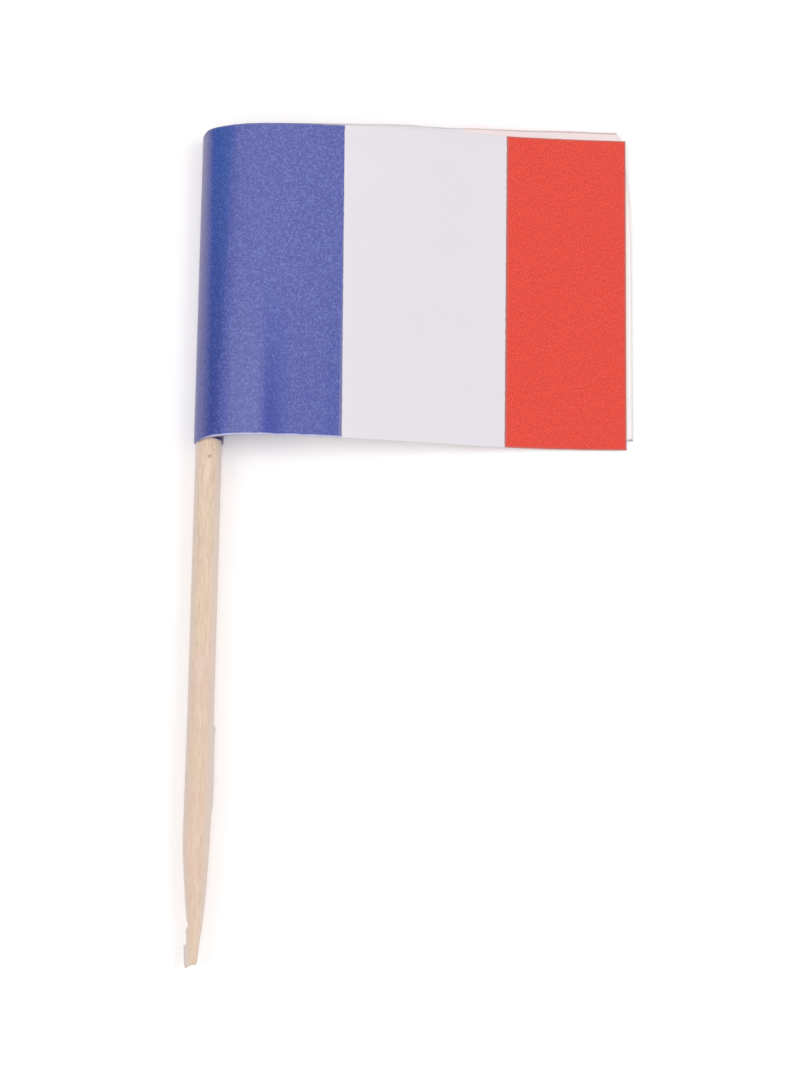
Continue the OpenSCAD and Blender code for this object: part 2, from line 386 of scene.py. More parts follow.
class Fold:
    """Heights of the sheet's middle line over the distance x from the pick's axis, row by row."""

    def __init__(self, v):
        self.v = v
        self.loop_mid = LOOP_OUT - PAPER_T / 2
        self.leave = np.radians(between(LEAVE_ANGLE, v))
        self.crest_z = 2 * LOOP_OUT + between(CREST_RISE, v) - PAPER_T / 2
        self.leave_x = -self.loop_mid * np.sin(self.leave)
        leave_z = AXIS_Z + self.loop_mid * np.cos(self.leave)
        self.hump_r = (self.crest_z - leave_z) / (1 - np.cos(self.leave))
        self.crest_x = self.leave_x + self.hump_r * np.sin(self.leave)
        self.flat_x = FRONT_REACH - FLAT_L
        self.flat_z = 1.5 * PAPER_T + GLUE_T
        crease = math.radians(CREASE_ANGLE)
        slope = math.radians(CREASE_SLOPE)
        self.crease_mid = CREASE_R + PAPER_T / 2
        self.crease_x = (self.loop_mid + self.crease_mid) * math.sin(crease)
        self.crease_z = AXIS_Z + (self.loop_mid + self.crease_mid) * math.cos(crease)
        self.back_x = self.crease_x - self.crease_mid * math.sin(slope)
        self.back_z = self.crease_z + self.crease_mid * math.cos(slope)

    def front(self, x):
        """A round hump up to the crest, then half a wave down, with a lifted top edge beyond."""
        run = np.maximum(self.crest_x - x, 0)
        hump = self.crest_z - self.hump_r + np.sqrt(self.hump_r ** 2 - run ** 2)
        share = (x - self.crest_x) / (self.flat_x - self.crest_x)
        wave = self.flat_z + (self.crest_z - self.flat_z) * fall(share)
        sink = SINK_SHARE * smooth((x - SINK_START) / SINK_RUN)
        lift = TOP_LIFT * self.v ** 2 * smooth((x - LIFT_START) / LIFT_RUN) * (1 - sink)
        return np.where(x < self.crest_x, hump, wave) + lift + self.soft_creases(x)

    def soft_creases(self, x):
        """Each crease is a soft step down, which fades up the flag and is made good beyond."""
        total = 0 * x
        for place, height, width, reach in SOFT_CREASES:
            fade = 1 - smooth(self.v / reach)
            step = 0.5 - smooth((x - place) / width + 0.5)
            tail = 0.5 * smooth((x - place - CREASE_TAIL_START) / CREASE_TAIL_RUN)
            total = total + height * fade * (step + tail)
        return total

    def back(self, x):
        """The front leaf's height less a step that swells from the crease and closes at the glue."""
        u = np.clip((x - self.back_x) / (GLUE_X - self.back_x), 0, 1)
        closed = PAPER_T + GLUE_T
        first = self.front(np.full_like(self.v, self.back_x)) - self.back_z
        step = closed + (first - closed) * fall(u) + LEAF_GAP * np.sin(np.pi * u) ** 2
        return self.front(x) - step


def grid_faces(rows, cols, first=0, flip=False):
    """Corner numbers of the cells of a grid of rows by cols points, numbered row by row."""
    r, c = np.meshgrid(np.arange(rows - 1), np.arange(cols - 1), indexing="ij")
    a = first + r * cols + c
    quads = np.stack([a, a + 1, a + cols + 1, a + cols], axis=-1).reshape(-1, 4)
    return quads[:, ::-1] if flip else quads


def make_mesh(name, points, faces, slots=None, uv=None, marks=None, sharp=SHARP):
    """Object from arrays of points and four-cornered faces, with smooth shading and sharp edges.

    slots gives each face its material and uv each point its place on the strip. marks holds
    named numbers, one to a point, for the material to read.
    """
    mesh = bpy.data.meshes.new(name)
    mesh.from_pydata(points.tolist(), [], faces.tolist())
    mesh.polygons.foreach_set("use_smooth", np.ones(len(faces), dtype=bool))
    if slots is not None:
        mesh.polygons.foreach_set("material_index", slots.astype(np.int32))
    if uv is not None:
        layer = mesh.uv_layers.new(name="strip")
        layer.data.foreach_set("uv", uv[faces.reshape(-1)].astype(np.float32).reshape(-1))
    for key, values in (marks or {}).items():
        layer = mesh.attributes.new(name=key, type="FLOAT", domain="POINT")
        layer.data.foreach_set("value", values.astype(np.float32))
    mesh.set_sharp_from_angle(angle=math.radians(sharp))
    mesh.update()
    piece = bpy.data.objects.new(name, mesh)
    bpy.context.scene.collection.objects.link(piece)
    return piece


def strip_line(v):
    """Middle line of the folded strip in rows of equal v: x and z, the fold, and column counts.

    The line runs from the front leaf's cut end to the loop, clockwise round the pick, round the
    small crease and out along the back leaf. Each stretch starts where the one before it ends, so
    its own first point is dropped.
    """
    fold = Fold(v)
    front_x = FRONT_REACH + (fold.leave_x - FRONT_REACH) * np.linspace(0, 1, FRONT_COLS)[None, :]

    turn = np.linspace(0, 1, LOOP_COLS)[None, 1:]
    a = -fold.leave + (math.radians(CREASE_ANGLE - 360) + fold.leave) * turn
    loop_x = fold.loop_mid * np.sin(a)
    loop_z = AXIS_Z + fold.loop_mid * np.cos(a)

    start, end = math.radians(CREASE_ANGLE - 180), math.radians(-CREASE_SLOPE)
    b = start + (end - start) * np.linspace(0, 1, CREASE_COLS)[None, 1:] + 0 * v
    crease_x = fold.crease_x + fold.crease_mid * np.sin(b)
    crease_z = fold.crease_z + fold.crease_mid * np.cos(b)

    back_end = FRONT_REACH + between((BACK_PAST, -BACK_SHORT), v ** CORNER_POWER)
    back_x = fold.back_x + (back_end - fold.back_x) * np.linspace(0, 1, BACK_COLS)[None, 1:]

    x = np.concatenate([front_x, loop_x, crease_x, back_x], axis=1)
    z = np.concatenate([fold.front(front_x), loop_z, crease_z, fold.back(back_x)], axis=1)
    return x, z, fold, front_x.shape[1], back_x.shape[1]


def strip_run(x, z, fold, front_cols, back_cols):
    """Distance along the strip: x itself on the front leaf, then less by each step that it goes."""
    step = np.hypot(np.diff(x, axis=1), np.diff(z, axis=1))
    run = np.zeros_like(x)
    run[:, 1:] = -np.cumsum(step, axis=1)
    run += fold.leave_x - run[:, front_cols - 1:front_cols]
    along = run.copy()
    along[:, :front_cols] = x[:, :front_cols]
    first = x.shape[1] - back_cols
    along[:, first:] = run[:, first - 1:first] - (x[:, first:] - fold.back_x)
    return along


def strip_place_y(v, x, along, back_cols):
    """Place along the pick: the share v of the flag's height, with drift, askew leaf and sags."""
    y = FLAG_BOTTOM + FLAG_H * v - DRIFT * along
    first = x.shape[1] - back_cols
    reach = np.maximum(x[:, first:] - LOOP_OUT, 0) / (x[:, -1:] - LOOP_OUT)
    y[:, first:] += (BACK_RISE + DRIFT * along[:, -1:]) * reach
    for place, width, depth in EDGE_DIPS:
        y[:, first:] -= depth * v * bell((x[:, first:] - place) / width)
    y = y + LOW_TRIM * (1 - v) * smooth((along - TRIM_START) / TRIM_RUN)
    y = y - between(FOLD_SAG, v) * bell((along - between(FOLD_SAG_AT, v)) / between(FOLD_SAG_WIDTH, v))
    y = y - MOUTH_SAG * (1 - v) * bell((along - MOUTH_SAG_AT) / MOUTH_SAG_WIDTH)

    edge = bell(np.minimum(v, 1 - v) * FLAG_H / KNIFE_PITCH) * np.where(v < 0.5, 1, -1)
    wander = lattice_noise(along / KNIFE_PITCH, 0 * along + np.where(v < 0.5, *KNIFE_ROWS), KNIFE_DRAW)
    return y + edge * KNIFE_WANDER * wander


def sheet_faces(rows, cols):
    """Faces of the strip's closed skin, and the material of each: printed, bare, then cut edges.

    The printed face's points come first, row by row, and the bare face's after them. The grid
    runs along -X on the front leaf and +Y up, so its own order faces down.
    """
    count = rows * cols
    outer = grid_faces(rows, cols, 0, flip=True)
    inner = grid_faces(rows, cols, count)
    c = np.arange(cols - 1)
    r = np.arange(rows - 1)
    low = np.stack([c, c + 1, c + 1 + count, c + count], axis=-1)
    high = low[:, ::-1] + (rows - 1) * cols
    free = np.stack([(r + 1) * cols, r * cols, r * cols + count, (r + 1) * cols + count], axis=-1)
    far = free[:, ::-1] + cols - 1
    faces = np.concatenate([outer, inner, low, high, free, far])
    walls = len(low) + len(high) + len(free) + len(far)
    return faces, np.repeat([0, 1, 2], [len(outer), len(inner), walls])


def flag_sheet():
    """The folded strip as one closed skin.

    Two parameters: the run along the strip (front leaf from its cut end, loop, crease, back leaf)
    and the share v of its height. The middle line lies in a plane square to the pick; the printed
    face is the line plus half the paper's thickness along its normal, and the bare face is the
    line less that. Four narrow walls close the cut edges. Returns the sheet, and the distances
    along the strip at which the back leaf's blue ends, its red begins and, at its bottom and at
    its top corner, its cut end lies.
    """
    v = np.linspace(0, 1, STRIP_ROWS)[:, None]
    x, z, fold, front_cols, back_cols = strip_line(v)
    cols = x.shape[1]

    # Normal of the middle line, towards the printed face
    dx, dz = np.gradient(x, axis=1), np.gradient(z, axis=1)
    length = np.hypot(dx, dz)
    nx, nz = dz / length, -dx / length

    along = strip_run(x, z, fold, front_cols, back_cols)
    y = strip_place_y(v, x, along, back_cols)
    x = x + np.where(along > 0, DRIFT * FLAG_H * (v - 0.5) * smooth(along / SHEAR_RUN), 0)
    away = smooth((x - COCKLE_FROM) / COCKLE_FADE) * smooth((COCKLE_TO - x) / COCKLE_FADE)
    z = z + COCKLE * away * lattice_noise(x / COCKLE_PITCH[0], y / COCKLE_PITCH[1], COCKLE_DRAW)

    half = PAPER_T / 2
    printed = np.stack([AXIS_X + x + half * nx, y, z + half * nz], axis=-1)
    bare = np.stack([AXIS_X + x - half * nx, y, z - half * nz], axis=-1)
    points = np.concatenate([printed.reshape(-1, 3), bare.reshape(-1, 3)])
    faces, slots = sheet_faces(STRIP_ROWS, cols)
    uv = np.stack([along / STRIP_SPAN + 0.5, v * FLAG_H / STRIP_SPAN + 0 * along], axis=-1).reshape(-1, 2)
    sheet = make_mesh("paper_flag", points, faces, slots, np.concatenate([uv, uv]))
    loop_end = float(along[STRIP_ROWS // 2, cols - back_cols - 1])
    back_blue = loop_end - float(BACK_BLUE_X - fold.back_x)
    back_red = loop_end - float(BACK_RED_X - fold.back_x)
    return sheet, back_blue, back_red, (float(along[0, -1]), float(along[-1, -1]))


def off_side(a, side, spread):
    """Turn from a side of the pick, as a share of a spread, both given in degrees."""
    return np.angle(np.exp(1j * (a - math.radians(side)))) / math.radians(spread)


def tear(r, a, d):
    """Radius with the torn patches raised or sunk, and how grey the wood is there.

    Each patch is a bell round the pick, between two soft steps along it.
    """
    torn = 0 * r
    for side, spread, low, high, soft_low, soft_high, proud, grey in TORN:
        patch = bell(off_side(a, side, spread)) * smooth((d / MM - low) / soft_low)
        patch = patch * smooth((high - d / MM) / soft_high)
        r = r + proud * MM * patch
        torn = np.maximum(torn, grey * patch)
    return r, torn


def wooden_pick():
    """The pick as a turned skin: radius r(a, d) round an axis that wanders a little.

    r is the shank's radius, or near the point a power of the sine of the distance d from its end.
    It carries shallow lengthwise grooves, and patches of torn wood that stand proud or are missing.
    Both ends are closed by rings that shrink to a middle point.
    """
    a = np.linspace(0, 2 * np.pi, PICK_AROUND, endpoint=False)[None, :]
    tip_y = PICK_LOW[1] - POINT_REACH
    d = (PICK_HIGH[1] - tip_y) * np.linspace(0, 1, PICK_RINGS)[:, None] ** RING_CROWDING
    taper = np.sin(np.pi / 2 * np.clip(d / TAPER_L, 0, 1)) ** TAPER_POWER
    r = TIP_R + (PICK_R - TIP_R) * taper - TIP_BREAK * bell(d / TIP_BREAK_L)
    r = r + SWELL * bell((d - SWELL_AT) / SWELL_WIDTH)

    # Not quite round, with the grain's grooves
    across, upward = np.cos(a), np.sin(a)
    shank = smooth(d / SHANK_RAMP)
    uneven = lattice_noise(across * OVAL_REACH, d / OVAL_PITCH + upward * OVAL_REACH, OVAL_DRAW)
    groove = lattice_noise(a * GROOVES_AROUND / (2 * np.pi), d / GROOVE_PITCH, GROOVE_DRAW)
    fine = lattice_noise(a * FINE_AROUND / (2 * np.pi), d / FINE_PITCH, FINE_DRAW)
    r = r * (1 + OUT_OF_ROUND * uneven * shank) + (GROOVE * groove + FINE_GROOVE * fine) * shank
    r, torn = tear(r, a, d)

    lean = BEND * bell((d - BEND_AT) / BEND_WIDTH) + TIP_LEAN * smooth(1 - d / TIP_LEAN_L)
    past = SPLINTER_PAST * bell(off_side(a, SPLINTER_SIDE, SPLINTER_SPREAD)) * smooth(1 - d / SPLINTER_L)
    ring = np.stack([AXIS_X - lean + r * across, tip_y + d - past, AXIS_Z + r * upward], axis=-1)

    i, j = np.meshgrid(np.arange(PICK_RINGS - 1), np.arange(PICK_AROUND), indexing="ij")
    k = (j + 1) % PICK_AROUND
    near, next_ring = i * PICK_AROUND, (i + 1) * PICK_AROUND
    skin = np.stack([next_ring + j, next_ring + k, near + k, near + j], axis=-1)
    points, faces = [ring.reshape(-1, 3)], [skin.reshape(-1, 4)]
    for row, inward in ((0, 1), (PICK_RINGS - 1, -1)):
        first = sum(len(block) for block in points)
        cap, cap_faces = end_cap(ring[row], row * PICK_AROUND, first, inward)
        points.append(cap)
        faces.append(cap_faces)
    caps = np.full(sum(len(block) for block in points[1:]), CAP_MARK)
    # How far round to a side each point lies, which the material greys as painted sheen and shade
    side = np.abs(across) + 0 * r
    marks = {
        "torn": np.concatenate([torn.reshape(-1), caps]),
        "side": np.concatenate([side.reshape(-1), caps]),
    }
    points, faces = np.concatenate(points), np.concatenate(faces)
    return make_mesh("birch_pick", points, faces, marks=marks, sharp=PICK_SHARP)


def end_cap(rim, rim_first, first, inward):
    """Cut end of the pick: rings shrunk from the rim towards its middle, slightly hollow and rough.

    inward is 1 where +Y leads into the wood and -1 where -Y does. rim_first is the number of the
    rim's first point, and first that of the cap's own.
    """
    around = len(rim)
    middle = rim.mean(axis=0)
    share = 1 - np.arange(1, CAP_LEVELS)[:, None] / CAP_LEVELS
    layers = middle + (rim - middle) * share[:, :, None]
    spot = layers / CAP_PITCH
    rough = CAP_ROUGHNESS * share * (1 - share) * lattice_noise(spot[:, :, 0], spot[:, :, 2], CAP_DRAW)
    layers[:, :, 1] += inward * (CAP_HOLLOW * (1 - share) + rough)
    middle[1] += inward * CAP_HOLLOW
    points = np.concatenate([layers.reshape(-1, 3), middle[None, :]])

    starts = np.concatenate([[rim_first], first + around * np.arange(CAP_LEVELS - 1)])[:, None]
    j = np.arange(around)[None, :]
    k = (j + 1) % around
    outer, inner = starts[:-1], starts[1:]
    quads = np.stack([outer + j, outer + k, inner + k, inner + j], axis=-1).reshape(-1, 4)
    even = np.arange(0, around, 2)
    fan = np.stack([even, even + 1, (even + 2) % around, 0 * even], axis=-1) + starts[-1]
    fan[:, 3] = first + around * (CAP_LEVELS - 1)
    faces = np.concatenate([quads, fan])
    return points, faces if inward > 0 else faces[:, ::-1]


class Nodes:
    """Short hand for a material's nodes and links."""

    def __init__(self, name):
        self.material = bpy.data.materials.new(name)
        self.material.use_nodes = True
        self.tree = self.material.node_tree
        self.shader = self.tree.nodes["Principled BSDF"]

    def fill(self, socket, value):
        """Put a value in a socket, or lead another socket to it."""
        if isinstance(value, bpy.types.NodeSocket):
            self.tree.links.new(value, socket)
        else:
            socket.default_value = value

    def add(self, kind, inputs, **settings):
        """New node of a kind, with its settings made and its inputs filled."""
        made = self.tree.nodes.new(kind)
        for key, value in settings.items():
            setattr(made, key, value)
        for key, value in inputs.items():
            self.fill(made.inputs[key], value)
        return made

    def set(self, key, value):
        """Fill one of the shader's inputs."""
        self.fill(self.shader.inputs[key], value)

    def math(self, operation, a, b=0.0, c=0.0):
        """Result of an operation on up to three numbers."""
        return self.add("ShaderNodeMath", {0: a, 1: b, 2: c}, operation=operation).outputs[0]

    def both(self, a, b):
        """Product of two shares, which is 1 only where both are."""
        return self.math("MULTIPLY", a, b)

    def mix(self, factor, a, b):
        """Colour or grey a where the factor is 0, b where it is 1."""
        a, b = (value if isinstance(value, bpy.types.NodeSocket) else rgba(value) for value in (a, b))
        return self.add("ShaderNodeMix", {0: factor, 6: a, 7: b}, data_type="RGBA").outputs[2]

    def step(self, value, low, high, a=0.0, b=1.0):
        """Soft step from a to b as the value goes from low to high."""
        inputs = {0: value, 1: low, 2: high, 3: a, 4: b}
        return self.add("ShaderNodeMapRange", inputs, interpolation_type="SMOOTHSTEP").outputs[0]

    def band(self, value, marks):
        """1 between the middle two of four marks, with soft steps out to the outer two."""
        return self.both(self.step(value, marks[0], marks[1]), self.step(value, marks[3], marks[2]))

    def noise(self, vector, scale, detail=2.0, rough=0.5):
        """Cloudy grey between 0 and 1."""
        inputs = {"Vector": vector, "Scale": scale, "Detail": detail, "Roughness": rough}
        return self.add("ShaderNodeTexNoise", inputs).outputs["Fac"]

    def grains(self, vector, scale):
        """Random colour for each cell of an uneven packing, which a step reads as a grey."""
        return self.add("ShaderNodeTexVoronoi", {"Vector": vector, "Scale": scale}).outputs["Color"]

    def mark(self, name):
        """Number that the mesh carries at each point under this name."""
        return self.add("ShaderNodeAttribute", {}, attribute_name=name).outputs["Fac"]

    def bump(self, height, strength):
        """Fine relief of the surface, from a height between 0 and 1."""
        inputs = {"Height": height, "Strength": strength, "Distance": RELIEF}
        self.set("Normal", self.add("ShaderNodeBump", inputs).outputs[0])

    def strip_place(self):
        """Place on the flat strip in mm, and its two parts: along it and up it."""
        uv = self.add("ShaderNodeUVMap", {}, uv_map="strip").outputs[0]
        centred = self.add("ShaderNodeVectorMath", {0: uv, 1: (-0.5, 0, 0)}, operation="ADD").outputs[0]
        inputs = {0: centred, "Scale": STRIP_SPAN / MM}
        place = self.add("ShaderNodeVectorMath", inputs, operation="SCALE").outputs[0]
        parts = self.add("ShaderNodeSeparateXYZ", {0: place})
        return place, parts.outputs[0], parts.outputs[1]


def rgba(colour):
    """Colour with its alpha, from three parts or from one grey."""
    if isinstance(colour, float):
        colour = (colour,) * 3
    return (*colour, 1.0)


def shade(colour, tone):
    """Colour made lighter or darker."""
    return tuple(part * tone for part in colour)


def blue_ground(m, place, along, up, speck):
    """Speckled blue with paler grains that gather in places, and painted shade in a band past the fold.
    """
    dark, pale = (shade(BLUE_INK, tone) for tone in SPECK_TONES)
    colour = m.mix(m.step(speck, *SPECK_STEP), dark, pale)
    grains = m.grains(place, GRAIN_SCALE)
    gathered = m.step(m.noise(place, *CLUSTER_NOISE), *CLUSTER_STEP)
    colour = m.mix(m.both(m.step(grains, *GRAIN_STEP), gathered), colour, BLUE_PALE)

    # Painted shade past the fold, where the leaf's curve turns away from the sheen
    past = m.math("MULTIPLY_ADD", up, -FOLD_SHADE_SHIFT * MM / FLAG_H, along)
    fold_shade = m.both(m.step(along, FOLD_SHADE[0], FOLD_SHADE[1]), m.step(past, FOLD_SHADE[3], FOLD_SHADE[2]))
    height = m.step(up, 0.0, FLAG_H / MM)
    colour = m.mix(m.both(fold_shade, FOLD_SHADE_SHARE), colour, m.mix(height, BLUE_FOLD_SHADE, BLUE_FOLD_SHADE_TOP))
    colour = m.mix(m.both(fold_shade, m.step(speck, *FOLD_SHADE_SPECK_STEP)), colour, shade(BLUE_FOLD_SHADE, FOLD_SHADE_TONE))
    return m.mix(m.both(fold_shade, m.step(grains, *FOLD_SHADE_GRAIN_STEP)), colour, BLUE_PALE)


def crease_sheen_and_shade(m, colour, along, up):
    """Low on the leaf: painted sheen on the crest, and painted shade along the creases where they break
    the sheen.
    """
    low = m.step(up, CREASE_REACH, 0.0)
    # Painted sheen on the crest, painted shade along the two creases
    for marks, share, ink in (
        (CREST_SHEEN, CREST_SHEEN_SHARE, BLUE_PAINTED_SHEEN),
        (FIRST_CREASE, CREASE_SHADE_SHARE, BLUE_CREASE_SHADE),
        (PAST_CREASE, PAST_CREASE_SHADE_SHARE, BLUE_CREASE_SHADE),
    ):
        colour = m.mix(m.both(m.both(m.band(along, marks), low), share), colour, ink)
    return colour


def fold_sheen_and_loop_shade(m, colour, along, up, speck):
    """Painted reflection of the pale surroundings where the strip turns over the fold, more towards the
    top, then painted shade on the loop's far side.
    """
    # Painted reflection: paler round the fold, as the pale surroundings glance off it
    sheen_to = m.math("MULTIPLY_ADD", up, FOLD_SHEEN_SHIFT * MM / FLAG_H, FOLD_SHEEN[3])
    painted_sheen = m.both(m.step(along, FOLD_SHEEN[0], FOLD_SHEEN[1]), m.step(along, sheen_to, FOLD_SHEEN[2]))
    painted_sheen = m.both(painted_sheen, m.step(speck, *FOLD_SHEEN_STEP))
    painted_sheen = m.both(painted_sheen, m.step(up, 0.0, FLAG_H / MM, *FOLD_SHEEN_SHARES))
    colour = m.mix(painted_sheen, colour, BLUE_PAINTED_SHEEN)
    # Painted shade on the loop's far side, under the front leaf
    return m.mix(m.both(m.band(along, LOOP_SHADE), LOOP_SHADE_SHARE), colour, BLUE_LOOP_SHADE)


def blue_rims(m, colour, place, along, up):
    """Greyed rim at the top edge and at the end of the field, and a ragged bare lip below."""
    top = m.step(m.math("SUBTRACT", FLAG_H / MM, up), *BORDER)
    end = m.step(m.math("SUBTRACT", FRONT_BLUE_X / MM, along), *BORDER)
    colour = m.mix(m.both(m.math("MAXIMUM", top, end), BLUE_RIM_SHARE), colour, BLUE_BORDER)
    ragged = m.math("MULTIPLY_ADD", m.noise(place, *RAG_NOISE), RAG, -RAG / 2)
    lip = m.both(m.step(m.math("ADD", up, ragged), *LIP_HEIGHT), m.step(along, *LIP_FROM))
    return m.mix(lip, colour, LIP_WHITE)


def blue_ink(m, place, along, up, speck):
    """Blue field: its ground, with its painted sheen and shade at the fold and creases, and its rims."""
    colour = blue_ground(m, place, along, up, speck)
    colour = crease_sheen_and_shade(m, colour, along, up)
    colour = fold_sheen_and_loop_shade(m, colour, along, up, speck)
    return blue_rims(m, colour, place, along, up)


def red_ink(m, place, along, up):
    """Red field: softly blotched ink, with a darker greyed line where it piles up at its borders."""
    upright = m.add("ShaderNodeMapping", {"Vector": place, "Scale": RED_STRETCH}).outputs[0]
    blotch = m.noise(upright, *RED_BLOTCH_NOISE)
    fleck = m.noise(upright, *RED_FLECK_NOISE)
    blotch_part = m.math("MULTIPLY", blotch, 1 - RED_FLECK_PART)
    level = m.math("MULTIPLY_ADD", fleck, RED_FLECK_PART, blotch_part)
    dark, pale = (shade(RED_INK, tone) for tone in RED_TONES)
    colour = m.mix(m.step(level, *RED_STEP), dark, pale)
    colour = m.mix(m.step(fleck, *RED_FLECK_STEP), colour, RED_PALE)

    side = m.math("ABSOLUTE", m.math("ADD", along, -FRONT_RED_X / MM - RED_LINE_IN))
    end = m.math("SUBTRACT", FRONT_REACH / MM, along)
    upright_lines = m.math("MAXIMUM", m.step(side, *RED_LINE), m.step(end, *BORDER))
    top = m.math("SUBTRACT", FLAG_H / MM, up)
    long_edges = m.math("MAXIMUM", m.step(up, *BORDER), m.step(top, *BORDER))
    line = m.math("MAXIMUM", upright_lines, m.both(long_edges, RED_EDGE_SHARE))
    return m.mix(m.both(line, RED_LINE_SHARE), colour, RED_BORDER)


def stripe_edge(m, along, place, soft):
    """Soft step at a place along the strip: from 0 up to 1, or down where soft is below 0."""
    return m.step(along, place / MM - soft, place / MM + soft)


def printed_face(back_blue, back_red):
    """Coated paper under flat fields of ink, laid out by the distances along and up the strip."""
    m = Nodes("printed_paper")
    place, along, up = m.strip_place()

    # A hair of wander along the stripes' edges, and the end of the blue a little out of square
    wander = m.math("MULTIPLY_ADD", m.noise(place, *STRIPE_NOISE), STRIPE_WANDER, -STRIPE_WANDER / 2)
    along = m.math("ADD", along, wander)
    skew = m.math("MULTIPLY_ADD", up, BLUE_EDGE_SKEW / FLAG_H, -BLUE_EDGE_SKEW / MM / 2)

    blue_front = stripe_edge(m, m.math("ADD", along, skew), FRONT_BLUE_X, -STRIPE_SOFT)
    blue = m.both(blue_front, stripe_edge(m, along, back_blue, STRIPE_SOFT))
    red_front = stripe_edge(m, along, FRONT_RED_X, STRIPE_SOFT)
    red = m.math("MAXIMUM", red_front, stripe_edge(m, along, back_red, -STRIPE_SOFT))

    speck = m.noise(place, *SPECK_NOISE)
    dark, pale = (shade(PAPER_WHITE, tone) for tone in WHITE_TONES)
    white = m.mix(m.noise(place, WHITE_SCALE), dark, pale)
    colour = m.mix(blue, white, blue_ink(m, place, along, up, speck))
    m.set("Base Color", m.mix(red, colour, red_ink(m, place, along, up)))

    # The blue is the glossiest, the red the mattest, and the crease has lost its gloss
    creased = m.both(m.band(along, FIRST_CREASE), m.step(up, CREASE_REACH, 0.0))
    blue_rough = m.mix(creased, BLUE_ROUGH, CREASED_ROUGH)
    m.set("Roughness", m.mix(red, m.mix(blue, WHITE_ROUGH, blue_rough), RED_ROUGH))
    m.bump(speck, PRINT_RELIEF)
    return m.material


def bare_face(back_red, back_ends):
    """The strip's unprinted side: matt, rosy where the red shows through, with painted shadow along its
    top rim, its cut end and its corners.

    back_red is where the red begins on the back leaf, and back_ends are the places of the cut
    end's bottom and top corners, all as distances along the strip.
    """
    m = Nodes("bare_paper")
    place, along, up = m.strip_place()
    red = stripe_edge(m, along, back_red, -RED_THROUGH_SOFT)
    share = m.math("POWER", m.math("MULTIPLY", up, MM / FLAG_H), float(CORNER_POWER))
    end = m.math("MULTIPLY_ADD", share, (back_ends[1] - back_ends[0]) / MM, back_ends[0] / MM)
    from_end = m.math("SUBTRACT", along, end)
    colour = m.mix(red, BARE_WHITE, BARE_PINK)
    fibres = m.step(m.noise(place, *BARE_FIBRES), *BARE_FIBRE_STEP)
    colour = m.mix(fibres, colour, shade(BARE_PINK, BARE_TONE))
    colour = m.mix(m.both(m.step(from_end, *END_FADE), m.step(share, *END_HEIGHT)), colour, BARE_END)

    # Painted shadow along the top rim, patchy, browner where the red shows through
    top_rim = m.step(m.math("SUBTRACT", FLAG_H / MM, up), *BARE_RIM)
    patchy = m.step(m.noise(place, *PATCH_NOISE), *PATCH_STEP)
    colour = m.mix(m.both(top_rim, patchy), colour, m.mix(red, RIM_SHADOW_GREY, RIM_SHADOW_BROWN))
    # A painted shadow line along the cut end
    colour = m.mix(m.step(from_end, *BARE_RIM), colour, END_RIM_SHADOW)
    # Painted shadow at the corners of the cut end
    corner = m.both(m.step(from_end, *CORNER_END), m.math("MAXIMUM", top_rim, m.step(up, *CORNER_LOW)))
    m.set("Base Color", m.mix(m.both(corner, CORNER_SHARE), colour, shade(RIM_SHADOW_GREY, CORNER_TONE)))
    m.shader.inputs["Roughness"].default_value = BARE_ROUGH
    return m.material


def cut_edge():
    """The core of the paper where the knife went through, tinged by the ink above it, and painted dark
    round the loop for the shade it lies in.
    """
    m = Nodes("cut_paper")
    place, along, up = m.strip_place()
    colour = m.mix(stripe_edge(m, along, FRONT_BLUE_X, CUT_SOFT), EDGE_BLUE, EDGE_WHITE)
    colour = m.mix(stripe_edge(m, along, FRONT_RED_X, CUT_SOFT), colour, EDGE_RED)
    # Round the loop the edge is painted dark, for the shade under the front leaf
    colour = m.mix(m.step(along, *LIP_FROM), EDGE_LOOP_SHADE, colour)
    fibres = m.step(m.noise(place, *CUT_FIBRES), *CUT_FIBRE_STEP)
    m.set("Base Color", m.mix(fibres, colour, shade(EDGE_WHITE, CUT_TONE)))
    m.shader.inputs["Roughness"].default_value = CUT_ROUGH
    return m.material


def wood_grain(m, place, long, short, streak):
    """Fine streaks and a softer mottle, with rosy and straw drifts and a few brown specks."""
    colour = m.mix(m.step(streak, *STREAK_STEP), shade(WOOD_TAN, STREAK_TONES[0]),
                   shade(WOOD_PALE, STREAK_TONES[1]))
    mottle = m.noise(short, *MOTTLE_NOISE)
    colour = m.mix(m.step(mottle, *MOTTLE_STEP), colour, shade(WOOD_TAN, MOTTLE_TONE))
    colour = m.mix(m.step(m.noise(long, ROSE_SCALE), *ROSE_STEP), colour, WOOD_ROSE)
    colour = m.mix(m.step(m.noise(place, STRAW_SCALE), *STRAW_STEP), colour, WOOD_STRAW)
    specks = m.step(m.noise(short, *WOOD_SPECKS), *WOOD_SPECK_STEP)
    return m.mix(specks, colour, shade(WOOD_TAN, WOOD_SPECK_TONE))


